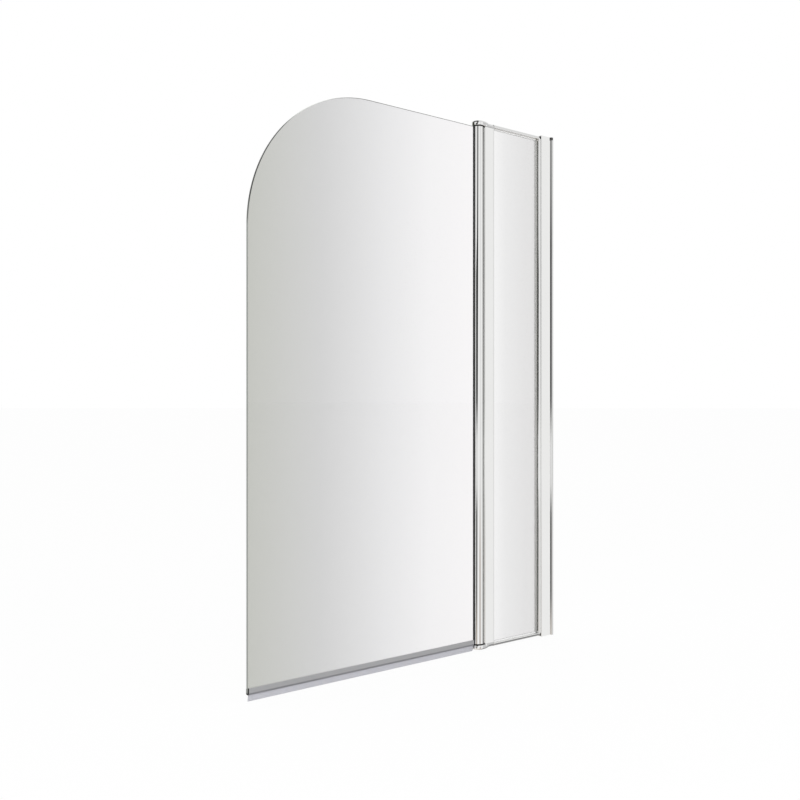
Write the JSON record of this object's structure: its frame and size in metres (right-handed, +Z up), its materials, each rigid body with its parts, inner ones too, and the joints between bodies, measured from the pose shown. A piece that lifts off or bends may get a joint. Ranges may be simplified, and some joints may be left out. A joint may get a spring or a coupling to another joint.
{
  "type": "bath screen",
  "caption": "Over-bath screen with a hinged clear glass door with one round top corner, a barrel hinge, a narrow fixed glass panel and a bright wall channel.",
  "frame": {"origin": "middle of the wall channel's back face at its foot, level with the bath rim", "axes": "+X into the wall, so the screen reaches towards -X; -Y towards the room side shown in the picture, +Y towards the bathing side; +Z up"},
  "size_m": [1.005, 0.0421, 1.436],
  "materials": {
    "polished_aluminium": "bright polished, chrome look",
    "chromed_casting": "mirror chrome",
    "clear_glass": "clear toughened, polished edges",
    "glazing_rubber": "matt grey",
    "clear_seal": "translucent soft plastic",
    "dark_rubber": "matt black",
    "dark_plastic": "satin dark grey",
    "cover_plastic": "chrome-look plastic",
    "bearing_nylon": "satin black",
    "screw_steel": "plain stainless"
  },
  "bodies": {
    "wall_side": {"wall_channel": "polished_aluminium", "wall_channel_top_cap": "dark_plastic", "wall_channel_foot_plug": "dark_plastic", "lock_screws": "screw_steel", "lock_screw_caps": "cover_plastic"},
    "fixed_panel": {"jamb_profile": "polished_aluminium", "jamb_bottom_plug": "dark_plastic", "jamb_top_plug": "dark_plastic", "fixed_glass": "clear_glass", "post_gasket": "glazing_rubber", "jamb_gasket": "glazing_rubber", "bottom_rail": "polished_aluminium", "top_rail": "polished_aluminium", "bottom_rail_gasket": "glazing_rubber", "top_rail_gasket": "glazing_rubber", "hinge_post": "polished_aluminium", "barrel_wiper": "glazing_rubber", "bottom_hinge_cap": "chromed_casting", "top_hinge_cap": "chromed_casting", "bottom_cap_screws": "screw_steel", "top_cap_screws": "screw_steel", "bottom_pivot_pin": "screw_steel", "top_pivot_pin": "screw_steel", "bottom_thrust_washer": "bearing_nylon", "top_thrust_washer": "bearing_nylon"},
    "door": {"door_barrel": "polished_aluminium", "bottom_barrel_plug": "bearing_nylon", "top_barrel_plug": "bearing_nylon", "barrel_gasket_front": "glazing_rubber", "barrel_gasket_back": "glazing_rubber", "door_glass": "clear_glass", "bottom_seal": "clear_seal", "seal_end_stop": "dark_rubber"}
  },
  "joints": [
    {"name": "wall_adjustment", "type": "slide", "parent": "wall_side", "child": "fixed_panel", "axis": [1, 0, 0], "range_m": [-0.012, 0.008]},
    {"name": "door_hinge", "type": "hinge", "parent": "fixed_panel", "child": "door", "pos_m": [-0.2835, 0, 0], "axis": [0, 0, 1], "range_deg": [-90, 90]}
  ]
}
